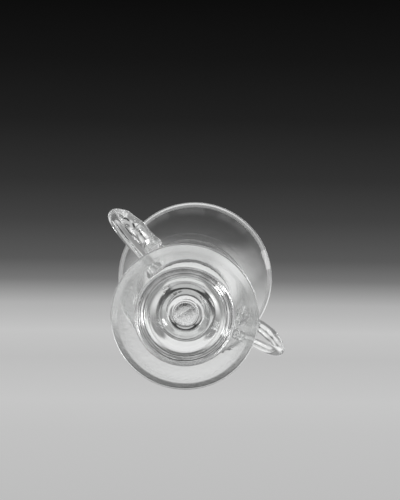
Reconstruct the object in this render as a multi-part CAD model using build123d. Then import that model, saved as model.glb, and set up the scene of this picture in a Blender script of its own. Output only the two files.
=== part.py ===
# Two-handled jelly glass of clear blown glass, standing upright on its foot.
# The origin is the middle of the ring that it stands on, +Z is up through the
# bowl's mouth, and the handles stand out along +X and -X. Lengths are in millimetres.
from build123d import *
import os
from math import radians, tan

# Foot: a broad brim with a hollow dome in the middle
foot_diameter = 66.0
foot_edge_thickness = 2.4
rest_ring_width = 1.2
brim_rise = 1.35
underside_rise = 1.3
dome_diameter = 43.0
dome_height = 11.25
hollow_diameter = 32.5
hollow_top_diameter = 12.4
dome_roof_thickness = 5.6
side_draft = 0.6

# Knop: the short solid swelling between the foot and the bowl
knop_end_diameter = 16.4
knop_diameter = 18.6
knop_height = 4.8

# Bowl: a rounded base, nearly straight sides and a mouth that flares like a bell
bulge_diameter = 42.4
bulge_height = 11.5
waist_diameter = 47.8
waist_height = 34.5
mouth_diameter = 77.0
mouth_height = 39.6
lip_angle = 45.0
wall_thickness = 1.7
rim_thickness = 2.4
bowl_floor_thickness = 4.6

# Pontil scar: the broken button of glass where the working rod was cracked off
scar_diameter = 11.6
scar_height = 1.3
scar_edge_radius = 0.7

# Handles: round rods of glass, thick where they start above and drawn thinner as they are bent
# into a loop and pressed on lower down while hot
rod_end_diameter = 4.4
pad_width = 8.6
pad_length = 11.0
pad_thickness = 2.4
upper_pad_height = 64.2
lower_pad_height = 15.4
loop_rise = 8.5
loop_start_angle = 45.0
loop_end_angle = 28.0
finger_gap = 24.1
loop_middle_height = 49.2

# Each handle was set by eye: its turn about the glass, its rod, and how far it was pulled out
right_turn = -5.5
right_rod_diameter = 6.2
right_extra_reach = 0.0
left_turn = 185.5
left_rod_diameter = 7.2
left_extra_reach = 1.1

# How far a curve is drawn at its start and at its end towards the corner that it rounds
dome_draw = (0.6, 0.9)
hollow_draw = (0.35, 0.5)
base_draw = (0.55, 0.62)
side_draw = (0.6, 0.6)
flare_draw = (0.6, 0.77)
floor_draw = (0.62, 0.7)
arm_start_draw = (0.5, 0.5)
arm_top_draw = (0.62, 0.47)
arm_return_draw = (0.95, 0.62)

# Levels above the surface that the glass stands on
brim_top = foot_edge_thickness + brim_rise
knop_bottom = brim_top + dome_height
hollow_top_level = knop_bottom - dome_roof_thickness
bowl_bottom = knop_bottom + knop_height
bulge_level = bowl_bottom + bulge_height
waist_level = bulge_level + waist_height
mouth_level = waist_level + mouth_height


def bend(start, corner, end, draw):
    """The four points of a smooth curve from start to end that rounds a corner."""
    return [start, start + (corner - start) * draw[0], end + (corner - end) * draw[1], end]


def outer_side():
    """The bowl's outside as three curves of (radius, height), from its base to its mouth."""
    base = Vector(knop_end_diameter / 2, bowl_bottom)
    bulge = Vector(bulge_diameter / 2, bulge_level)
    waist = Vector(waist_diameter / 2, waist_level)
    mouth = Vector(mouth_diameter / 2, mouth_level)
    rise = Vector((waist.X - bulge.X) / waist_height, 1)
    lip_run = Vector(1 / tan(radians(lip_angle)), 1)
    bell_height = (mouth.X - waist.X - mouth_height * lip_run.X) / (rise.X - lip_run.X)
    return [
        bend(base, bulge - rise * bulge_height, bulge, base_draw),
        bend(bulge, (bulge + waist) / 2, waist, side_draw),
        bend(waist, waist + rise * bell_height, mouth, flare_draw),
    ]


def inner_side():
    """The bowl's inside: the outside drawn in by the wall, over a floor with a round bottom."""
    base, side, mouth = outer_side()
    wall = Vector(wall_thickness, 0)
    rim = Vector(rim_thickness, 0)
    floor = Vector(0, bowl_bottom + bowl_floor_thickness)
    bulge = base[3] - wall
    return [
        bend(floor, Vector(bulge.X, floor.Y), bulge, floor_draw),
        [point - wall for point in side],
        [mouth[0] - wall, mouth[1] - wall, mouth[2] - rim, mouth[3] - rim],
    ]


def bowl_radius(level):
    """The bowl's outer radius at a height, found by halving the curve that passes it."""
    edge = next(Bezier(*curve) for curve in outer_side() if level <= curve[3].Y)
    low, high = 0.0, 1.0
    for _ in range(30):
        middle = (low + high) / 2
        if (edge @ middle).Y < level:
            low = middle
        else:
            high = middle
    return (edge @ low).X


def turned(outline):
    """A solid turned round the glass's axis from a closed outline of (radius, height) edges."""
    return revolve(Plane.XZ * make_face(outline), Axis.Z)


def foot():
    edge_radius = foot_edge_thickness / 2
    rest_outer = foot_diameter / 2 - edge_radius
    rest_inner = rest_outer - rest_ring_width
    edge_top = Vector(rest_outer, foot_edge_thickness)
    neck = Vector(knop_end_diameter / 2, knop_bottom)
    dome_foot = Vector(dome_diameter / 2, brim_top)
    dome_corner = Vector(dome_foot.X - side_draft, neck.Y)
    hollow_mouth = Vector(hollow_diameter / 2, underside_rise)
    hollow_top = Vector(hollow_top_diameter / 2, hollow_top_level)
    hollow_corner = Vector(hollow_mouth.X - side_draft, hollow_top.Y)
    return turned([
        Line((0, knop_bottom), (0, hollow_top_level)),
        Line((0, hollow_top_level), hollow_top),
        Bezier(*bend(hollow_top, hollow_corner, hollow_mouth, hollow_draw)),
        Line(hollow_mouth, (rest_inner, 0)),
        Line((rest_inner, 0), (rest_outer, 0)),
        ThreePointArc((rest_outer, 0), (foot_diameter / 2, edge_radius), edge_top),
        Line(edge_top, dome_foot),
        Bezier(*bend(dome_foot, dome_corner, neck, dome_draw)),
        Line(neck, (0, knop_bottom)),
    ])


def pontil_scar():
    hanging = (Align.CENTER, Align.CENTER, Align.MAX)
    scar = Pos(0, 0, hollow_top_level) * Cylinder(scar_diameter / 2, scar_height, align=hanging)
    return fillet(scar.edges().group_by(Axis.Z)[0], scar_edge_radius)


def knop():
    end = knop_end_diameter / 2
    middle = knop_bottom + knop_height / 2
    return turned([
        Line((0, knop_bottom), (end, knop_bottom)),
        ThreePointArc((end, knop_bottom), (knop_diameter / 2, middle), (end, bowl_bottom)),
        Line((end, bowl_bottom), (0, bowl_bottom)),
        Line((0, bowl_bottom), (0, knop_bottom)),
    ])


def bowl():
    outside = outer_side()
    inside = inner_side()
    lip_outer = outside[2][3]
    lip_inner = inside[2][3]
    lip_top = (lip_outer + lip_inner) / 2 + Vector(0, rim_thickness / 2)
    return turned([
        Line((0, bowl_bottom), outside[0][0]),
        *[Bezier(*curve) for curve in outside],
        ThreePointArc(lip_outer, lip_top, lip_inner),
        *[Bezier(*curve) for curve in inside],
        Line(inside[0][0], (0, bowl_bottom)),
    ])


def filled_bowl():
    """The bowl's outer form as one lump, which the handles are cut to lie on."""
    outside = outer_side()
    return turned([
        Line((0, bowl_bottom), outside[0][0]),
        *[Bezier(*curve) for curve in outside],
        Line(outside[2][3], (0, mouth_level)),
        Line((0, mouth_level), (0, bowl_bottom)),
    ])


def handle_route(rod_diameter, extra_reach):
    """The middle line of a handle as three curves, from its upper pad round to its lower one."""
    upper_level = bowl_bottom + upper_pad_height
    lower_level = bowl_bottom + lower_pad_height
    upper = Vector(bowl_radius(upper_level) - wall_thickness / 2, upper_level)
    lower = Vector(bowl_radius(lower_level) - wall_thickness / 2, lower_level)
    outermost_radius = (rod_diameter + rod_end_diameter) / 4
    reach = waist_diameter / 2 + finger_gap + outermost_radius + extra_reach
    top = Vector((upper.X + reach) / 2, upper.Y + loop_rise)
    outermost = Vector(reach, bowl_bottom + loop_middle_height)
    start_corner = Vector(upper.X + loop_rise / tan(radians(loop_start_angle)), top.Y)
    heel_level = lower.Y + (reach - lower.X) * tan(radians(loop_end_angle))
    return [
        bend(upper, start_corner, top, arm_start_draw),
        bend(top, Vector(reach, top.Y), outermost, arm_top_draw),
        bend(outermost, Vector(reach, heel_level), lower, arm_return_draw),
    ]


def pad(end):
    """A flattened ball of glass where a handle meets the bowl, centred in the bowl's wall."""
    depth = pad_thickness + wall_thickness / 2
    return Pos(end.X, 0, end.Y) * scale(Sphere(1), (depth, pad_width / 2, pad_length / 2))


def handle(turn, rod_diameter, extra_reach):
    """A tapering bent rod with a pad at each end, cut to lie on the bowl and turned to its place."""
    route = handle_route(rod_diameter, extra_reach)
    line = Plane.XZ * Curve([Bezier(*curve) for curve in route])
    ends = [
        Plane(line @ 0, z_dir=line % 0) * Circle(rod_diameter / 2),
        Plane(line @ 1, z_dir=line % 1) * Circle(rod_end_diameter / 2),
    ]
    rod = sweep(ends, path=line, multisection=True)
    pads = [pad(route[0][0]), pad(route[2][3])]
    return Rot(0, 0, turn) * (rod + pads - filled_bowl())


pieces = {
    "foot": foot(),
    "pontil_scar": pontil_scar(),
    "knop": knop(),
    "bowl": bowl(),
    "handle_right": handle(right_turn, right_rod_diameter, right_extra_reach),
    "handle_left": handle(left_turn, left_rod_diameter, left_extra_reach),
}

os.makedirs("parts", exist_ok=True)
for name, piece in pieces.items():
    export_step(piece, f"parts/{name}.step")
    print(name, "volume", round(piece.volume, 1), piece.bounding_box())
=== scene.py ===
# %% [markdown]
# # A two-handled jelly glass
# A jelly glass is a small footed glass from which jellies and syllabubs were eaten. This one is
# clear lead glass, blown and shaped by hand: a bell-mouthed bowl on a short solid knop, a broad
# foot that rises to a dome, and a looped rod of glass on each side. The measured parts already
# have the sizes. This lesson gives each of them a finer surface and a glass finish, and then
# builds the studio that the glass is seen in. Lengths are in millimetres until a mesh is made.

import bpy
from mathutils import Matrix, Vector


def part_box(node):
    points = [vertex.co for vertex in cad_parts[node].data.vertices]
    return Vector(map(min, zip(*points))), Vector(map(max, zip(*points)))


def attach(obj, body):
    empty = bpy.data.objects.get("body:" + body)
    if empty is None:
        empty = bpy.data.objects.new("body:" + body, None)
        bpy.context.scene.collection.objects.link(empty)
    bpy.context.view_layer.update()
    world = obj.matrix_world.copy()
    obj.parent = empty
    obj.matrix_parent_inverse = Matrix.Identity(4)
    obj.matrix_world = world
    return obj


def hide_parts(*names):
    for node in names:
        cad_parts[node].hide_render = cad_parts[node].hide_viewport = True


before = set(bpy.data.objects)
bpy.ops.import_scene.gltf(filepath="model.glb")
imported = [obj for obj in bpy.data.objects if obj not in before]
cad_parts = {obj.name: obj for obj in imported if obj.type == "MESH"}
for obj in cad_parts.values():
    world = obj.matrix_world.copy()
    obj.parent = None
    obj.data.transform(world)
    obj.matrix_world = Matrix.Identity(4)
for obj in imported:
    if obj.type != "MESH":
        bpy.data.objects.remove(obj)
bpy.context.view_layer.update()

# %% [markdown]
# ## Tools
# Surfaces are worked out as whole arrays of numbers, and Blender's own vectors place the camera
# and the lamps. Blender works in metres, so a length is multiplied by MM when it gets there.

# %% Tools
from math import atan2, cos, pi, radians, sin, tan

import bpy
import numpy as np
from mathutils import Matrix, Vector

MM = 0.001
print("this is Blender", bpy.app.version_string)

# %% [markdown]
# ## Where the pieces meet
# Glass pieces are melted onto each other, so a level where two of them meet is shared. These
# levels and radii are read from the parts, so the finer surfaces stay where the parts are. The
# neck is the radius of the knop's two flat ends. No box shows it, so it is written again here.

# %% Levels and radii read from the parts
foot_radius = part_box("foot")[1].x / MM
knop_bottom, bowl_bottom = (corner.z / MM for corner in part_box("knop"))
knop_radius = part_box("knop")[1].x / MM
scar_bottom, hollow_top = (corner.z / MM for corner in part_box("pontil_scar"))
scar_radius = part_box("pontil_scar")[1].x / MM
mouth_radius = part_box("bowl")[1].x / MM
bowl_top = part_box("bowl")[1].z / MM
neck_radius = 8.2
print(f"foot {foot_radius:.2f}, bowl from {bowl_bottom:.2f} to {bowl_top:.2f}, mouth {mouth_radius:.2f}")

# %% [markdown]
# ## Camera
# The photograph looks up at the underside of the foot, about nine degrees off the glass's own
# axis, through a long lens. Its place follows from how far the circles of the foot and of the
# mouth are apart. The camera's three axes are worked out from its place, its aim and the
# direction that is up in the picture, so no guess about its roll is needed.

# %% Camera
camera_place = Vector((-62.04, -139.99, -784.60)) * MM
camera_aim = Vector((-13.29, -27.09, 5.89)) * MM
top_of_picture = Vector((-0.625, -0.766, 0.148))
lens = 129.7

camera = bpy.data.objects.new("camera", bpy.data.cameras.new("camera"))
bpy.context.scene.collection.objects.link(camera)
camera.data.lens = lens
backward = (camera_place - camera_aim).normalized()
photo_right = top_of_picture.cross(backward).normalized()
photo_up = backward.cross(photo_right)
facing = Matrix((photo_right, photo_up, backward)).transposed()
camera.matrix_world = Matrix.Translation(camera_place) @ facing.to_4x4()
bpy.context.scene.camera = camera
bpy.context.view_layer.update()
print("right in the picture is", tuple(round(part, 3) for part in photo_right))

# %% [markdown]
# ## Outlines
# Foot, knop, scar and bowl were all shaped while they turned, so each is an outline spun round
# the axis. An outline is a row of (radius, height) points, made of straight runs and of curves
# that are drawn towards a corner, as a hot sheet of glass rounds a corner.

# %% Curves
def bend(start, corner, end, draw, count):
    """Points on the four-point curve that rounds a corner: the weights (1-t)^3, 3t(1-t)^2,
    3t^2(1-t) and t^3 on the start, a point drawn from it to the corner, one from the end, the end."""
    start, corner, end = (np.array(point, float) for point in (start, corner, end))
    t = np.linspace(0, 1, count)[:, None]
    first = start + (corner - start) * draw[0]
    second = end + (corner - end) * draw[1]
    return (1 - t)**3 * start + 3 * t * (1 - t)**2 * first + 3 * t**2 * (1 - t) * second + t**3 * end


def run(start, end, count):
    """Evenly spaced points on a straight line: start (1-t) + end t."""
    t = np.linspace(0, 1, count)[:, None]
    return np.array(start, float) * (1 - t) + np.array(end, float) * t


def joined(*stretches):
    """Stretches of a line end to end, with each shared point kept once."""
    return np.vstack([stretches[0]] + [stretch[1:] for stretch in stretches[1:]])


def smooth(low, high, value):
    """0 below low, 1 above high, and 3t^2 - 2t^3 between them."""
    t = np.clip((value - low) / (high - low), 0, 1)
    return t * t * (3 - 2 * t)


print("halfway round a square corner a curve passes", bend((0, 0), (1, 0), (1, 1), (0.5, 0.5), 3)[1])

# %% [markdown]
# ## From a grid of points to a piece
# Every piece is a grid of rings, one ring round it for each step along it, closed by a single
# point at both ends. The grid is computed as whole arrays. A face's finish is chosen by its
# strip, because the flat ends where two pieces are melted together have a finish of their own.

# %% A closed mesh of rings
sharp_angle = radians(50)


def ringed(name, first, rings, last, finishes, strip_finish):
    """A closed piece from a first point, a grid of rings (steps, around, xyz) and a last point.
    Ring points run anticlockwise seen from the last point, so that the faces point outwards."""
    steps, around = rings.shape[:2]
    here = np.arange(around)
    after = (here + 1) % around
    row = 1 + around * np.arange(steps - 1)[:, None]
    quads = np.stack([row + here, row + after, row + after + around, row + here + around], -1)
    end = 1 + steps * around
    top = end - around
    first_fan = np.stack([0 * here, 1 + after, 1 + here], -1)
    last_fan = np.stack([0 * here + end, top + here, top + after], -1)
    points = np.vstack([[first], rings.reshape(-1, 3), [last]]) * MM
    mesh = bpy.data.meshes.new(name)
    faces = first_fan.tolist() + quads.reshape(-1, 4).tolist() + last_fan.tolist()
    mesh.from_pydata(points.tolist(), [], faces)
    for finish in finishes:
        mesh.materials.append(finish)
    mesh.polygons.foreach_set("material_index", np.repeat(strip_finish, around).astype(np.int32))
    mesh.shade_smooth()
    mesh.set_sharp_from_angle(angle=sharp_angle)
    piece = bpy.data.objects.new(name, mesh)
    bpy.context.scene.collection.objects.link(piece)
    print(name, "has", len(points), "points and", len(mesh.polygons), "faces")
    return piece


# %% A piece spun from its outline
def turned(name, outline, finishes, strip_finish, around=256, shift=None):
    """A piece spun from an outline that starts and ends on the axis: at angle a its point is
    (r cos a, r sin a, h), after shift has moved radius r and height h by hand-made amounts."""
    angle = np.linspace(0, 2 * pi, around, endpoint=False)[None, :]
    radius = outline[1:-1, 0:1] + 0 * angle
    height = outline[1:-1, 1:2] + 0 * angle
    if shift:
        radius, height = shift(radius, height, angle)
    rings = np.stack([radius * np.cos(angle), radius * np.sin(angle), height], -1)
    return ringed(name, (0, 0, outline[0, 1]), rings, (0, 0, outline[-1, 1]), finishes, strip_finish)


# %% [markdown]
# ## Finishes as sums
# A finish is easier to read as arithmetic than as boxes and noodles. A Wire holds the output of
# a node. Adding, multiplying or comparing wires adds the node that does it, and every other
# node comes from one method, which takes its kind, its settings and what goes into it.

# %% Shader wires
upward = (0, 0, 1)


class Wire:
    """An output socket with arithmetic. Numbers meet in Math nodes, vectors in Vector Math."""

    def __init__(self, tree, socket=None):
        self.tree = tree
        self.socket = socket

    def node(self, kind, settings=None, inputs=None, output=0):
        """Adds a node of any kind: first its settings, then values or wires for its sockets."""
        made = self.tree.nodes.new(kind)
        for name, value in (settings or {}).items():
            if name == "stops":
                stops = made.color_ramp.elements
                while len(stops) < len(value):
                    stops.new(0.5)
                for stop, (place, colour) in zip(stops, value):
                    stop.position = place
                    stop.color = colour
            else:
                setattr(made, name, value)
        for name, value in (inputs or {}).items():
            if isinstance(value, Wire):
                self.tree.links.new(value.socket, made.inputs[name])
            else:
                made.inputs[name].default_value = value
        return Wire(self.tree, made.outputs[output])

    def maths(self, operation, first, second=0.0):
        """A Math node on two wires or numbers, or a Vector Math node where one is a vector."""
        wires = [part for part in (first, second) if isinstance(part, Wire)]
        vector = any(wire.socket.type == "VECTOR" for wire in wires)
        kind = "ShaderNodeVectorMath" if vector else "ShaderNodeMath"
        return self.node(kind, {"operation": operation}, {0: first, 1: second})

    def __add__(self, other):
        return self.maths("ADD", self, other)

    def __sub__(self, other):
        return self.maths("SUBTRACT", self, other)

    def __rsub__(self, other):
        return self.maths("SUBTRACT", other, self)

    def __mul__(self, other):
        return self.maths("MULTIPLY", self, other)

    def __gt__(self, other):
        return self.maths("GREATER_THAN", self, other)

    def __lt__(self, other):
        return self.maths("LESS_THAN", self, other)

    def __abs__(self):
        return self.maths("ABSOLUTE", self)

    __radd__ = __add__
    __rmul__ = __mul__

    def along(self, axis):
        """How far this vector reaches along an axis."""
        settings = {"operation": "DOT_PRODUCT"}
        return self.node("ShaderNodeVectorMath", settings, {0: self, 1: axis}, "Value")

    def parts(self):
        """The three numbers of this vector."""
        return [self.node("ShaderNodeSeparateXYZ", None, {0: self}, axis) for axis in "XYZ"]

    def smooth(self, low, high):
        """0 below low, 1 above high, and a smooth step between them."""
        settings = {"interpolation_type": "SMOOTHSTEP"}
        limits = {"Value": self, "From Min": low, "From Max": high}
        return self.node("ShaderNodeMapRange", settings, limits)

    def noise(self, scale, detail):
        """Cloudy noise, about 0 to 1: how many clouds to each unit, and how many finer layers."""
        values = {"Vector": self, "Scale": scale, "Detail": detail}
        return self.node("ShaderNodeTexNoise", None, values)

    def stretched(self, scale):
        """These coordinates with each axis stretched by its own number."""
        return self.node("ShaderNodeMapping", None, {"Vector": self, "Scale": scale})


# %% A new finish
def new_finish(name):
    """A material with an empty tree: itself, the wire of its Object coordinates, its output."""
    finish = bpy.data.materials.new(name)
    finish.use_nodes = True
    tree = finish.node_tree
    tree.nodes.clear()
    output = tree.nodes.new("ShaderNodeOutputMaterial")
    return finish, Wire(tree).node("ShaderNodeTexCoord", output="Object"), output


# %% [markdown]
# ## Clear lead glass
# Lead glass is heavy and bright, because it bends light more than window glass does. It has
# nearly no colour, only a trace of green. What makes old hand-made glass look like itself is in
# its surface: it is never quite flat, so the light that comes through wavers, and it has faint
# smears. One recipe gives all of that, and each piece adds its own relief and its own wear.
# Those are patterns over Object coordinates, in metres, so they sit still on the glass.

# %% The recipe for glass
glass_bending = 1.56
glass_tint = (0.982, 0.988, 0.985, 1)


def glass_shader(coords, output, relief, relief_depth, roughness, cover=1.0):
    """Glass with a relief (0 to 1, that deep in mm), a roughness, and a cover that opens it."""
    normal = coords.node("ShaderNodeBump", None, {"Height": relief, "Distance": relief_depth * MM})
    glass = coords.node("ShaderNodeBsdfPrincipled", None, {
        "Base Color": glass_tint,
        "IOR": glass_bending,
        "Transmission Weight": 1.0,
        "Roughness": roughness,
        "Alpha": cover,
        "Normal": normal,
    })
    coords.tree.links.new(glass.socket, output.inputs["Surface"])
    print("a glass of", len(coords.tree.nodes), "nodes, with a relief", relief_depth, "mm deep")


# %% [markdown]
# Where two pieces are melted together there is no surface left between them. Each piece is
# still closed there, so that it is a solid of its own, and its end is given a finish that light
# passes as if nothing was there. Every flat end has the same number of points, so its strips can
# be counted off from the end of the outline.

# %% The finish of a melted joint
melted_joint, coords, output = new_finish("melted_joint")
clear = coords.node("ShaderNodeBsdfPrincipled", None, {"Base Color": glass_tint, "Alpha": 0.0})
coords.tree.links.new(clear.socket, output.inputs["Surface"])

flat_points = 8


def end_strips(outline, first=True, last=True):
    """The finish of each strip of an outline: 1, the melted joint, on its flat ends, 0 between."""
    strips = np.zeros(len(outline) - 1, int)
    if first:
        strips[:flat_points - 1] = 1
    if last:
        strips[1 - flat_points:] = 1
    return strips


print("a flat end is", flat_points - 1, "strips of the melted joint")

# %% [markdown]
# ## Foot
# The foot was a bubble opened out and spun flat, so its brim is thin and a little uneven, its
# edge was rounded in the fire, and its middle was left as a dome with a hollow under it. The
# glass stands on a narrow ring near the edge. That ring is where the wear is: years of tables
# have ground a frosted line into it, with short scratches beside it.

# %% Foot glass
foot_glass, coords, output = new_finish("foot_glass")
spun_depth = 0.045
frosted, scratched = 0.12, 0.3
spun = coords.stretched((1, 1, 0.2)).noise(260, 2.0)
smears = coords.noise(55, 3.0).smooth(0.55, 0.8) * 0.02
scratches = coords.stretched((1, 3, 1)).noise(2600, 1.0).smooth(0.45, 0.7)
resting = 1 - coords.along(upward).smooth(0.04 * MM, 0.5 * MM)
worn = resting * (frosted + scratches * scratched)
glass_shader(coords, output, spun, spun_depth, smears + worn)

# %% [markdown]
# The foot's outline starts in the middle of the hollow, where the scar hangs. Round the scar is
# a shallow groove, which the rod's end pressed into the soft glass. It gives the dark arch of
# the photograph. From the hollow's shoulder the underside runs down to the resting ring. The
# edge is half an oval, and on the way back the brim flows into the dome.

# %% Foot sizes
edge_thickness, edge_reach = 2.4, 0.8
resting_width = 2.4
rest_outer = foot_radius - edge_reach
rest_inner = rest_outer - resting_width
brim_top, underside_rise = 3.75, 1.3
dome_radius, hollow_radius = 21.5, 16.25
side_draft, shoulder_drop = 0.6, 1.0
groove_width, groove_rise, groove_drop = 5.5, 1.4, 1.0
flow_width, flow_rise = 1.2, 2.0
print(f"the foot stands on a ring from {rest_inner:.1f} to {rest_outer:.1f} from the axis")

# %% Foot: the hollow's side of the outline
groove_start = (scar_radius, hollow_top)
groove_corner = (scar_radius + groove_width / 2, hollow_top + groove_rise)
groove_end = (scar_radius + groove_width, hollow_top - groove_drop)
hollow_corner = (hollow_radius - side_draft, hollow_top - shoulder_drop)
hollow_mouth = (hollow_radius, underside_rise)
groove = bend(groove_start, groove_corner, groove_end, (1, 1), 14)
hollow = bend(groove_end, hollow_corner, hollow_mouth, (0.35, 0.5), 40)
print(f"the groove's roof is at level {groove[:, 1].max():.2f}")

# %% Foot: the edge, the flow and the dome
edge_turn = np.linspace(-pi / 2, pi / 2, 24)[:, None]
edge_oval = np.hstack([edge_reach * np.cos(edge_turn), edge_thickness / 2 * np.sin(edge_turn)])
edge = (rest_outer, edge_thickness / 2) + edge_oval
dome_foot = (dome_radius, brim_top)
neck = (neck_radius, knop_bottom)
dome = bend(dome_foot, (dome_radius - side_draft, knop_bottom), neck, (0.6, 0.9), 60)
dome = dome[dome[:, 1] > brim_top + flow_rise]
brim_slope = (brim_top - edge_thickness) / (rest_outer - dome_radius)
brim_end = (dome_radius + flow_width, brim_top - flow_width * brim_slope)
flow = bend(brim_end, dome_foot, dome[0], (0.6, 0.6), 20)
print(f"the brim flows into the dome up to level {dome[0, 1]:.2f}")

# %% Foot outline, from the middle of the hollow round to the top of the dome
foot_outline = joined(
    run((0, hollow_top), groove_start, flat_points),
    groove,
    hollow,
    run(hollow_mouth, (rest_inner, 0), 60),
    run((rest_inner, 0), (rest_outer, 0), 5),
    edge,
    run((rest_outer, edge_thickness), brim_end, 36),
    flow,
    dome,
    run(neck, (0, knop_bottom), flat_points),
)
print("foot outline has", len(foot_outline), "points")

# %% Foot: the outline spun, with the unevenness of hand work
brim_wave = 0.05
wave_start = 1.2


def foot_shift(radius, height, angle):
    """Waves round the brim, that grow towards the edge and leave the resting ring flat: the
    height rises by brim_wave (sin(2a+1) + sin(3a)/2), where the foot is off the table."""
    share = smooth(dome_radius, rest_outer, radius) * smooth(0, wave_start, height)
    return radius, height + brim_wave * share * (np.sin(2 * angle + 1) + 0.5 * np.sin(3 * angle))


foot_strips = end_strips(foot_outline)
foot = turned("blown_foot", foot_outline, [foot_glass, melted_joint], foot_strips, shift=foot_shift)

# %% [markdown]
# ## Knop
# The knop is a short solid swelling of glass that joins the bowl to the foot. It was squeezed
# round while it turned, so it keeps faint rings from the tool.

# %% Knop glass
knop_glass, coords, output = new_finish("knop_glass")
ring_depth = 0.015
rings = coords.stretched((0.3, 0.3, 1)).noise(900, 1.0)
smears = coords.noise(90, 2.0).smooth(0.6, 0.8) * 0.015
glass_shader(coords, output, rings, ring_depth, smears)

# %% Knop piece
knop_middle = (knop_bottom + bowl_bottom) / 2
knop_corner = (neck_radius, knop_middle)
knop_side = (knop_radius, knop_middle)
bowl_neck = (neck_radius, bowl_bottom)
knop_draw = 0.3
knop_outline = joined(
    run((0, knop_bottom), neck, flat_points),
    bend(neck, knop_corner, knop_side, (knop_draw, 0), 12),
    bend(knop_side, knop_corner, bowl_neck, (0, knop_draw), 12),
    run(bowl_neck, (0, bowl_bottom), flat_points),
)
knop_strips = end_strips(knop_outline)
knop = turned("pressed_knop", knop_outline, [knop_glass, melted_joint], knop_strips)

# %% [markdown]
# ## Pontil scar
# While the mouth and the handles were worked, an iron rod held the glass by the middle of its
# foot. Cracked off, it left a button of broken glass in the hollow. A break in glass is shell
# shaped, so its face is a few shallow scoops that meet in low ridges, and it is brighter and
# rougher than what the fire has smoothed.

# %% Scar glass
scar_glass, coords, output = new_finish("scar_glass")
grain_depth = 0.03
dulled, broken_dulled, gritty = 0.06, 0.1, 0.25
broken = 1 - coords.along(upward).smooth((scar_bottom + 0.2) * MM, (scar_bottom + 0.9) * MM)
grain = coords.noise(1500, 3.0)
rough = broken * (broken_dulled + grain.smooth(0.35, 0.75) * gritty)
glass_shader(coords, output, grain, grain_depth, dulled + rough)

# %% Scar piece
scar_edge = 0.7
scoop_depth = 0.06
scoops_fade, scoops_end = scar_radius - 2.2, scar_radius - 0.4


def scar_shift(radius, height, angle):
    """A broken face: the bottom rises in scoops, |sin| of two slanting waves added together,
    that fade out at the edge of the button and never reach below its lowest level."""
    x, y = radius * np.cos(angle), radius * np.sin(angle)
    scoops = abs(np.sin(0.62 * x + 0.2 * y + 0.6)) + abs(np.sin(0.5 * y - 0.33 * x + 1.9)) * 0.8
    face = 1 - smooth(scar_bottom + 0.1, scar_bottom + scar_edge, height)
    fade = 1 - smooth(scoops_fade, scoops_end, radius)
    return radius, height + scoop_depth * scoops * face * fade


face_end = (scar_radius - scar_edge, scar_bottom)
side_start = (scar_radius, scar_bottom + scar_edge)
scar_outline = joined(
    run((0, scar_bottom), face_end, 24),
    bend(face_end, (scar_radius, scar_bottom), side_start, (0.55, 0.55), 10),
    run(side_start, (scar_radius, hollow_top), 4),
    run((scar_radius, hollow_top), (0, hollow_top), flat_points),
)
scar_strips = end_strips(scar_outline, first=False)
scar = turned("broken_scar", scar_outline, [scar_glass, melted_joint], scar_strips, shift=scar_shift)

# %% [markdown]
# ## Bowl
# The bowl was blown, so its wall is thick at the bottom, thinnest round the waist, and thick
# again towards the mouth, where the bell was opened with a tool and the lip then rounded in the
# fire. The inside is worked out from the outside: each point moves in, square to the wall, by
# the wall's depth there. That depth gains a share, bell_gain, with each radian that the bell
# leans out. The lip is a half circle that joins the two lines, which end at 45 degrees.

# %% Bowl: the outside line
bulge_radius, bulge_level = 21.2, bowl_bottom + 11.5
waist_radius, waist_level = 23.9, bowl_bottom + 46.0
waist_wall, bell_gain = 1.25, 0.95
lip_lean = pi / 4
lip_radius = waist_wall * (1 + bell_gain * lip_lean) / 2
wall_end_radius = mouth_radius - lip_radius * (1 - cos(lip_lean))
wall_end_level = bowl_top - lip_radius * (1 + sin(lip_lean))
slope = (waist_radius - bulge_radius) / (waist_level - bulge_level)
bell_rise = (wall_end_radius - waist_radius - (wall_end_level - waist_level)) / (slope - 1)
base_corner = (bulge_radius - slope * (bulge_level - bowl_bottom), bowl_bottom)
bell_corner = (waist_radius + slope * bell_rise, waist_level + bell_rise)
bulge = (bulge_radius, bulge_level)
waist = (waist_radius, waist_level)
base_line = bend(bowl_neck, base_corner, bulge, (0.55, 0.62), 40)
side_line = run(bulge, waist, 30)
bell_line = bend(waist, bell_corner, (wall_end_radius, wall_end_level), (0.6, 0.77), 60)
wall_line = joined(side_line, bell_line)
whole_line = joined(base_line, wall_line)


def bowl_radius(level):
    """The bowl's outer radius at a level, read off the outside line."""
    return np.interp(level, whole_line[:, 1], whole_line[:, 0])


print(f"the bell is {bowl_radius(bell_corner[1]):.2f} from the axis at level {bell_corner[1]:.2f}")

# %% Bowl: the inside line and the lip
bulge_wall = 2.0
bowl_floor = bowl_bottom + 4.6

direction = np.gradient(wall_line, axis=0)
direction /= np.linalg.norm(direction, axis=1)[:, None]
inward = np.stack([-direction[:, 1], direction[:, 0]], -1)
lean = np.arctan2(direction[:, 0], direction[:, 1])
below_waist = np.clip((waist_level - wall_line[:, 1]) / (waist_level - bulge_level), 0, 1)
depth = waist_wall * (1 + bell_gain * np.clip(lean, 0, None))
depth = depth + (bulge_wall - waist_wall) * below_waist**2
inner_line = wall_line + inward * depth[:, None]
lip_middle = (wall_line[-1] + inner_line[-1]) / 2
lip_across = wall_line[-1] - inner_line[-1]
lip_turn = atan2(lip_across[1], lip_across[0]) + np.linspace(0, pi, 20)[:, None]
lip = lip_middle + lip_radius * np.hstack([np.cos(lip_turn), np.sin(lip_turn)])
floor_line = bend((0, bowl_floor), (inner_line[0, 0], bowl_floor), inner_line[0], (0.62, 0.7), 40)
bowl_outline = joined(
    run((0, bowl_bottom), bowl_neck, flat_points),
    whole_line,
    lip,
    inner_line[::-1],
    floor_line[::-1],
)
print(f"the lip is {2 * lip_radius:.2f} thick and reaches up to {bowl_outline[:, 1].max():.2f}")

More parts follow.
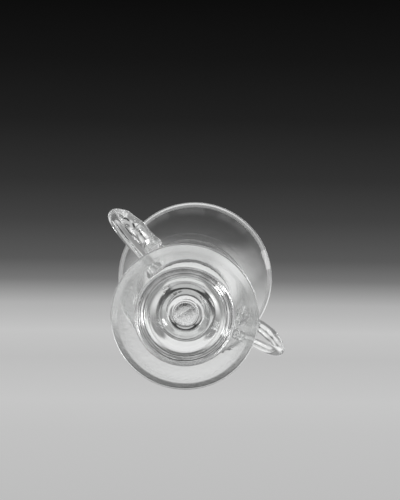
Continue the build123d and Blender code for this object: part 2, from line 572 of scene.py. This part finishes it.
# %% [markdown]
# ## Where the handles sit
# Each handle touches the bowl with two pads of glass. The bowl's skin is gone under a pad, so
# the bowl's glass is opened there: an oval on the wall, as long and as wide as the pad. The
# same numbers place the pads below, so the opening and the pad always match.

# %% Pads
pad_half_length, pad_half_width = 5.4, 4.2
upper_pad_level, lower_pad_level = bowl_bottom + 64.2, bowl_bottom + 15.4
right_turn, left_turn = radians(-5.5), radians(185.5)
start_radii = {"right": 3.1, "left": 3.7}
end_radius = 2.3


def wall_place(level):
    """A point of the outside line as (radius, height), and how far the wall leans out there."""
    step = 0.5
    rise = bowl_radius(level + step) - bowl_radius(level - step)
    return np.array([bowl_radius(level), level]), atan2(rise, 2 * step)


slant_stretch = 1.3


def pad_half(rod):
    """Half the pad's length and width: the fourth root of pad^4 + rod^4, where the rod's radius
    is stretched along the wall because it leaves it at a slant."""
    length = (pad_half_length**4 + (rod * slant_stretch)**4) ** 0.25
    return length, (pad_half_width**4 + rod**4) ** 0.25


pads = []
for turn, rod in ((right_turn, start_radii["right"]), (left_turn, start_radii["left"])):
    pads.append((turn, upper_pad_level, *pad_half(rod)))
    pads.append((turn, lower_pad_level, *pad_half(end_radius)))
print("pads:", [tuple(round(value, 2) for value in pad) for pad in pads])

# %% [markdown]
# Under each pad the bowl's glass is opened by a mask. The Mapping node looks at the wall from
# the pad's own middle, so that the oval becomes a plain circle of radius 1. The rest of the skin
# was drawn upwards as the bowl was blown, so its relief is long and soft. The lip has lost its
# polish in years of washing and wiping, and shows as a soft grey band.

# %% Bowl glass, open under the pads
bowl_glass, coords, output = new_finish("bowl_glass")
skin_depth = 0.8
masks = []
for turn, level, half_length, half_width in pads:
    (radius, height), wall_lean = wall_place(level)
    pad_coords = coords.node("ShaderNodeMapping", {"vector_type": "TEXTURE"}, {
        "Vector": coords,
        "Location": Vector((radius * cos(turn), radius * sin(turn), height)) * MM,
        "Rotation": (0, wall_lean, turn),
        "Scale": (1, half_width * MM, half_length * MM),
    })
    out_of_wall, sideways, upwards = pad_coords.parts()
    oval = (sideways * sideways + upwards * upwards) < 1.0
    masks.append(oval * (out_of_wall > -skin_depth * MM))
under_pads = sum(masks[1:], masks[0])

drawn_depth = 0.012
lip_wear = 0.3
drawn = coords.stretched((1, 1, 0.15)).noise(120, 1.0)
smears = coords.noise(40, 3.0).smooth(0.55, 0.8) * 0.015
near_lip = coords.along(upward).smooth((bowl_top - 2.4) * MM, (bowl_top - 1.2) * MM)
glass_shader(coords, output, drawn, drawn_depth, smears + near_lip * lip_wear, 1 - under_pads)

# %% Bowl piece
bowl_strips = end_strips(bowl_outline, last=False)
bowl = turned("blown_bowl", bowl_outline, [bowl_glass, melted_joint], bowl_strips, 288)

# %% [markdown]
# ## Handles
# A handle began as a hot rod that was stuck on under the bell. It was drawn out and down, which
# thinned it, bent round into a loop, and pressed onto the bowl again lower down. So the rod is
# thick over its upper arm, thin where it turns, and spreads into a pad at both ends. The rod is a
# circle carried along its middle line. Near the wall the circle turns to lie along the wall and
# swells to the pad's oval.

# %% Handle: the middle line
finger_gap = 24.1
loop_rise = 8.5
loop_middle_level = bowl_bottom + 49.2
start_slant, end_slant = radians(45), radians(28)
parts_start_radii = {"right": 3.1, "left": 3.6}
parts_end_radius = 2.2
extra_reach = {"right": 0.0, "left": 1.1}
turn_radius = 2.35
sunk = 0.6


def rod_line(side):
    """The rod's middle as (radius, height): up and out from the wall, over the top, down past
    the outermost point, and back in to the wall lower down, three drawn curves end to end. Its
    outermost point is where the measured part's rod ends, less the radius that it has there."""
    outermost_part = parts_start_radii[side] + parts_end_radius
    reach = waist_radius + finger_gap + outermost_part + extra_reach[side] - turn_radius
    upper, upper_lean = wall_place(upper_pad_level)
    lower, lower_lean = wall_place(lower_pad_level)
    upper = upper - sunk * np.array([cos(upper_lean), -sin(upper_lean)])
    lower = lower - sunk * np.array([cos(lower_lean), -sin(lower_lean)])
    top = np.array([(upper[0] + reach) / 2, upper[1] + loop_rise])
    outermost = np.array([reach, loop_middle_level])
    start_corner = (upper[0] + loop_rise / tan(start_slant), top[1])
    heel = (reach, lower[1] + (reach - lower[0]) * tan(end_slant))
    return joined(
        bend(upper, start_corner, top, (0.5, 0.5), 80),
        bend(top, (reach, top[1]), outermost, (0.62, 0.47), 80),
        bend(outermost, heel, lower, (0.95, 0.62), 120),
    )


def even(line, count):
    """The same line with its points the same distance apart, and how far along each one is."""
    far = np.concatenate([[0], np.cumsum(np.linalg.norm(np.diff(line, axis=0), axis=1))])
    at = np.linspace(0, far[-1], count)
    return np.stack([np.interp(at, far, line[:, 0]), np.interp(at, far, line[:, 1])], -1), at


print("the rod is", round(even(rod_line("right"), 10)[1][-1], 1), "mm long")

# %% Handle: how thick the rod is
thinning, thickening = (0.13, 0.5), (0.7, 1)


def rod_radius(side, at, bumps):
    """The radius at each length: the start's, thinning to the turn's over one share of the rod
    and thickening to the end's over another, plus amount exp(-((s - place) / width)^2) for each
    bump. A place below 0 is counted from the lower end."""
    share = at / at[-1]
    rod = turn_radius + (start_radii[side] - turn_radius) * (1 - smooth(*thinning, share))
    rod = rod + (end_radius - turn_radius) * smooth(*thickening, share)
    for place, width, amount in bumps:
        rod = rod + amount * np.exp(-((at - place % at[-1]) / width) ** 2)
    return rod


print("rod radii on the right:", rod_radius("right", np.linspace(0, 120, 5), []).round(2))

# %% [markdown]
# A pad lies flat on the bowl, though the rod comes to it at a slant. So each ring near an end is
# turned from square across the rod to flat along the wall, and what would be inside the bowl is
# moved out to its skin. Two measures are needed for that at each ring: the way that it faces,
# and its distance from the wall.

# %% Handle: how its ends turn to the wall
rod_steps = 300
turning_length = 8.0
near_length = 20
far_off = 99.0


def towards_wall(line, at, tangent):
    """Which way each ring faces, and how far it is from the wall: a ring faces along the rod,
    and over the last turning_length it turns to lie along the wall. The distance is measured
    square to the wall, and rings further along than near_length count as far off."""
    facing = tangent
    from_wall = np.full(rod_steps, far_off)
    for level, along, way in ((upper_pad_level, at, 1), (lower_pad_level, at[-1] - at, -1)):
        place, wall_lean = wall_place(level)
        normal = np.array([cos(wall_lean), -sin(wall_lean)])
        from_wall = np.where(along < near_length, (line - place) @ normal, from_wall)
        turned_back = (1 - smooth(0, turning_length, along))[:, None]
        facing = facing * (1 - turned_back) + normal * way * turned_back
    return facing / np.linalg.norm(facing, axis=1)[:, None], from_wall


skin_gap = 0.04


def onto_bowl(radius, sideways, height):
    """Points that are inside the bowl's skin moved straight out to it, so that a pad's back
    follows the wall, and which points those are."""
    skin = bowl_radius(height) - skin_gap
    outward = np.hypot(radius, sideways)
    inside = (outward < skin) & (height < wall_end_level)
    push = np.where(inside, skin / outward, 1.0)
    return radius * push, sideways * push, inside


def turned_to(turn, radius, sideways, height):
    """Points of a handle that reaches along x, turned about the glass's axis to its place."""
    x = radius * cos(turn) - sideways * sin(turn)
    y = radius * sin(turn) + sideways * cos(turn)
    return np.stack([x, y, height], -1)


print("the right handle points to", turned_to(right_turn, 1.0, 0.0, 0.0).round(3))

# %% [markdown]
# Now the two can be put together. A rod's round and a pad's oval are blended by adding fourth
# powers, which keeps the larger of the two and rounds the place where they cross. The ends are
# closed behind the pads, with rings that shrink to a point on the bowl's skin.

# %% Handle: the surface
around_rod = 64
pad_depth = 2.6
cap_rings = 6
cap = np.linspace(0, 1, cap_rings + 2)[1:-1]
closing = np.concatenate([cap, np.ones(rod_steps), cap[::-1]])[:, None]


def capped(rows):
    """The rows with the first and the last repeated for the rings that close the two ends."""
    first = np.repeat(rows[:1], cap_rings, 0)
    last = np.repeat(rows[-1:], cap_rings, 0)
    return np.vstack([first, rows, last])


def handle(name, side, turn, bumps):
    """The point at step s and angle a is middle(s) + R1 cos(a) lengthwise + R2 sin(a) sideways,
    where R1 and R2 are the fourth roots of rod^4 + pad^4 and the pad shrinks as the root of
    1 - (d/pad_depth)^2 with the distance d from the wall. R1's rod is stretched where a ring
    faces away from the rod's own direction."""
    line, at = even(rod_line(side), rod_steps)
    tangent = np.gradient(line, axis=0)
    tangent /= np.linalg.norm(tangent, axis=1)[:, None]
    facing, from_wall = towards_wall(line, at, tangent)
    stretch = 1 / np.clip((facing * tangent).sum(1), 1 / slant_stretch, 1)
    swell = np.sqrt(np.clip(1 - (np.clip(from_wall, 0, None) / pad_depth) ** 2, 0, 1))
    rod = rod_radius(side, at, bumps)
    half_length = ((rod * stretch) ** 4 + (pad_half_length * swell) ** 4) ** 0.25
    half_width = (rod ** 4 + (pad_half_width * swell) ** 4) ** 0.25
    angle = np.linspace(0, 2 * pi, around_rod, endpoint=False)[None, :]
    lengthwise = capped(half_length[:, None] * np.cos(angle)) * closing
    sideways = capped(half_width[:, None] * np.sin(angle)) * closing
    line, facing = capped(line), capped(facing)
    radius = line[:, 0:1] + facing[:, 1:2] * lengthwise
    height = line[:, 1:2] - facing[:, 0:1] * lengthwise
    radius, sideways, inside = onto_bowl(radius, sideways, height)
    rings = turned_to(turn, radius, sideways, height)
    start, end = (turned_to(turn, bowl_radius(up) - skin_gap, 0.0, up) for up in line[[0, -1], 1])
    melted = inside.all(1)
    strips = np.concatenate([[1], (melted[:-1] & melted[1:]).astype(int), [1]])
    return ringed(name, start, rings, end, [handle_glass, melted_joint], strips)


print("a handle has", rod_steps + 2 * cap_rings, "rings of", around_rod, "points")

# %% [markdown]
# The rods were pulled by hand in the heat, so their skin has soft lumps that run in no order.
# The relief is a large, shallow cloud, and the few big lumps that change the outline are in the
# shape itself: each is a place along the rod in mm, a width and an amount, and a place below 0
# is counted back from the lower end, where a tool pinched the glass three times.

# %% Handle glass
handle_glass, coords, output = new_finish("handle_glass")
pulled_depth = 0.02
pulled = coords.noise(260, 1.0)
smears = coords.noise(80, 2.0).smooth(0.6, 0.8) * 0.015
glass_shader(coords, output, pulled, pulled_depth, smears)

# %% Handles
crimps = [(-3.4, 0.7, 0.5), (-5.8, 0.7, 0.4), (-8.2, 0.7, 0.3)]
right_lumps = [(6, 3.0, 0.3), (15, 3.0, -0.2), (24, 3.4, 0.25)]
left_lumps = [(6, 3.0, 0.4), (15, 3.0, 0.45), (25, 3.4, 0.4)]
handle_right = handle("drawn_handle_right", "right", right_turn, right_lumps + crimps)
handle_left = handle("drawn_handle_left", "left", left_turn, left_lumps + crimps)

# %% [markdown]
# ## Onto the frame
# Each piece takes the place of its measured part and moves with the glass.

# %% Riding and replacing
for piece, node, slot in (
    (foot, "foot", "foot_glass"),
    (knop, "knop", "knop_glass"),
    (scar, "pontil_scar", "scar_glass"),
    (bowl, "bowl", "bowl_glass"),
    (handle_right, "handle_right", "handle_glass"),
    (handle_left, "handle_left", "handle_glass"),
):
    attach(piece, "root")
    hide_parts(node)
    print(piece.name, "takes the place of", node)

# %% [markdown]
# ## The studio
# Clear glass shows nothing but what is around it, so the studio matters as much as the glass.
# The world is a pattern over directions, so it stays put in every view. It is written with the
# same wires as the finishes, and its greys are given as they show on screen, from 0 to 255. A
# direction is an arrow of length 1, and how far it leans to the picture's top, or upwards, is
# a number from -1 to 1. The numbers beside the greys, and in every smooth edge, are such leans.

# %% Greys and blends
world = bpy.data.worlds.new("studio")
bpy.context.scene.world = world
world.use_nodes = True
tree = world.node_tree
tree.nodes.clear()
look = Wire(tree).node("ShaderNodeTexCoord", output="Generated")


def grey(tone):
    """A grey as it shows on screen, 0 to 255, as a linear colour."""
    part = tone / 255
    linear = part / 12.92 if part <= 0.04045 else ((part + 0.055) / 1.055) ** 2.4
    return (linear, linear, linear, 1)


def greys(value, tones):
    """A ramp of greys over a value: each stop is the value and the tone that it gets."""
    low, high = tones[0][0], tones[-1][0]
    limits = {"Value": value, "From Min": low, "From Max": high}
    place = value.node("ShaderNodeMapRange", None, limits)
    stops = [((at - low) / (high - low), grey(tone)) for at, tone in tones]
    return value.node("ShaderNodeValToRGB", {"stops": stops}, {"Fac": place})


def blended(factor, first, second):
    """One colour where the factor is 0, the other where it is 1."""
    values = {"Factor": factor, "A": first, "B": second}
    return factor.node("ShaderNodeMix", {"data_type": "RGBA"}, values, "Result")


print("a tone of 200 is", round(grey(200)[0], 3), "as a linear colour")

# %% [markdown]
# Behind the glass in the photograph is one plain sheet, dark at its top and pale at its bottom,
# with faint darker bands low down that are painted shadow of the glass.
# Here the sheet is a small part of the world, straight above the glass, where the photograph's
# camera looks. What the camera sees past the glass, and what the glass bends into view, are two
# ramps. They agree across the middle of the picture, and the glass's ramp goes on past its edge,
# as the paper does. Lower down the glass's ramp is paler, a painted pool of light that the glass
# throws onto the paper, and far down it is darker again, a painted shadow under the glass.

# %% Paper sheet
paper_tilt = 0.012
to_top = look.along(photo_up + photo_right * paper_tilt)
steepness = look.along(upward)
to_side = abs(look.along(photo_right))
straight = look.node("ShaderNodeLightPath", output="Is Camera Ray")
# The small dips near the bottom of this ramp are painted shadow of the glass on the paper.
paper_seen_with_painted_shadow = greys(to_top, [
    (-0.137, 190), (-0.10, 194), (-0.083, 198), (-0.06, 190), (-0.045, 196), (-0.03, 176),
    (-0.0167, 118), (-0.0055, 89), (0.0167, 66), (0.0390, 49), (0.0722, 32), (0.1055, 21), (0.137, 13),
])
# Paler than the camera's ramp below the middle: painted light from the glass on the paper. The stop at
# -0.6 is darker: painted shadow under the glass.
paper_through_glass_with_painted_light = greys(to_top, [
    (-0.6, 170), (-0.35, 230), (-0.12, 240), (-0.05, 222), (-0.035, 205), (-0.0167, 125),
    (-0.0055, 89), (0.0167, 66), (0.0390, 49), (0.0722, 32), (0.1055, 21), (0.16, 20), (0.4, 20),
])
paper = blended(straight, paper_through_glass_with_painted_light, paper_seen_with_painted_shadow)
beside = to_side.smooth(0.14, 0.2)
over = to_top.smooth(0.13, 0.16)
paper_edge = (0.7, 0.8)
in_glass = (1 - straight) * (1 - beside) * (1 - over)
on_paper = steepness.smooth(*paper_edge) * (straight + in_glass)
print("the paper is the part of the world steeper than", paper_edge[0])

# %% [markdown]
# Around the sheet is the room. Its walls are pale at the sides and dark towards the top of the
# picture, which gives the bell its dark far wall. Lower down stand things in two quiet greys,
# so that the glass has edges when it is seen upright. Straight below is one small dark place,
# which draws the fine dark lines in the rings of the foot. The camera sees plain grey instead.

# %% Room
# The table, towards the bottom of the picture, is a darker grey than the paper: painted shadow of the
# glass on it.
plain, table_in_painted_shadow, pale_side = grey(200), grey(140), grey(250)
walls = greys(to_top, [(-1, 190), (0.34, 190), (0.42, 115), (1, 105)])
side_walls = to_side.smooth(0.15, 0.45) * (1 - to_top.smooth(0.3, 0.6))
ahead = blended(to_top.smooth(-0.1, 0.1), table_in_painted_shadow, blended(side_walls, walls, pale_side))
things = look.stretched((1, 1, 0.2)).noise(4.0, 0.0).smooth(0.42, 0.58)
around = blended(things, grey(165), grey(218))
standing = blended(steepness.smooth(0.15, 0.35), around, ahead)
under = greys(steepness, [(-1, 20), (-0.7, 40)])
room = blended(steepness.smooth(-0.92, -0.84), under, standing)
sky = blended(on_paper, blended(straight, room, plain), paper)
background = look.node("ShaderNodeBackground", None, {"Color": sky, "Strength": 1.0})
sky_output = tree.nodes.new("ShaderNodeOutputWorld")
tree.links.new(background.socket, sky_output.inputs["Surface"])
print("the world is made of", len(tree.nodes), "nodes")

# %% [markdown]
# ## Lamps
# The bright marks on real glass are pictures of windows and lamps. Three soft rectangles stand
# beside the glass, each where its mark falls as in the photograph: on the ring of the foot, on
# the rim, and on the left handle. Their light is weak, because the world lights the glass. A
# lamp's place is given by a turn about the glass from the picture's right, and by its level.

# %% A soft lamp
middle_of_glass = Vector((0, 0, 0.05))


def softbox(name, place, width, height, radiance):
    """A soft lamp, a glowing rectangle that faces the middle of the glass and isn't seen itself."""
    lamp = bpy.data.lights.new(name, "AREA")
    lamp.shape = "RECTANGLE"
    lamp.size = width
    lamp.size_y = height
    lamp.energy = radiance * pi * width * height
    box = bpy.data.objects.new(name, lamp)
    bpy.context.scene.collection.objects.link(box)
    box.location = place
    box.rotation_mode = "QUATERNION"
    box.rotation_quaternion = (place - middle_of_glass).to_track_quat("Z", "Y")
    box.visible_camera = False
    print(name, "stands", round((place - middle_of_glass).length, 2), "m from the glass")


# %% Lamps beside the glass
lamp_distance = 0.7


def beside_glass(turn, level):
    """A place beside the glass: turned about its axis from the picture's right, at a level."""
    aside = photo_right * cos(radians(turn)) + photo_up * sin(radians(turn))
    return aside * lamp_distance + Vector((0, 0, level))


softbox("left_box", beside_glass(215, 0.15), 0.2, 0.3, 5)
softbox("high_box", beside_glass(150, 0.25), 0.12, 0.25, 5)
softbox("right_box", beside_glass(8, 0.05), 0.2, 0.2, 4)

# %% [markdown]
# ## Floor
# The glass stands on pale paper. The camera of the photograph is below it, so the paper is only
# there for a camera that looks down on it, and its face is turned up. Away from the glass it
# fades into the world, so that no edge or horizon shows.

# %% Floor
floor_size = 1.2
floor_drop = 0.05
floor_mesh = bpy.data.meshes.new("floor")
corners = np.array([(-1, -1, 0), (1, -1, 0), (1, 1, 0), (-1, 1, 0)]) * floor_size
floor_mesh.from_pydata(corners.tolist(), [], [(0, 1, 2, 3)])
floor = bpy.data.objects.new("floor", floor_mesh)
floor.location.z = -floor_drop * MM
bpy.context.scene.collection.objects.link(floor)
print("the floor is", 2 * floor_size, "m wide")

# %% Floor paper
paper_tone = 0.94
fade_start, fade_end = 0.22, 0.6
floor_paper, coords, output = new_finish("floor_paper")
paper_white = coords.node("ShaderNodeBsdfDiffuse", None, {"Color": (paper_tone,) * 3 + (1,)})
away = coords.node("ShaderNodeVectorMath", {"operation": "LENGTH"}, {0: coords}, "Value")
seen = coords.node("ShaderNodeLightPath", output="Is Camera Ray")
from_below = coords.node("ShaderNodeNewGeometry", output="Backfacing")
covered = seen * (1 - from_below) * (1 - away.smooth(fade_start, fade_end))
nothing = coords.node("ShaderNodeBsdfTransparent")
floor_mix = coords.node("ShaderNodeMixShader", None, {0: covered, 1: nothing, 2: paper_white})
coords.tree.links.new(floor_mix.socket, output.inputs["Surface"])
floor_mesh.materials.append(floor_paper)
print("the floor has faded out", fade_end, "m from the glass")

# %% [markdown]
# ## Settings
# Light that is caught between the two faces of a glass wall bounces many times before it gets
# out. With few bounces it is cut off, and thick glass such as the handles' pads turns black.

# %% Settings
bounces = 128
scene = bpy.context.scene
scene.view_settings.view_transform = "Standard"
scene.cycles.max_bounces = bounces
scene.cycles.transmission_bounces = bounces
scene.cycles.glossy_bounces = bounces
scene.cycles.transparent_max_bounces = bounces // 2
print("light may bounce", scene.cycles.max_bounces, "times")
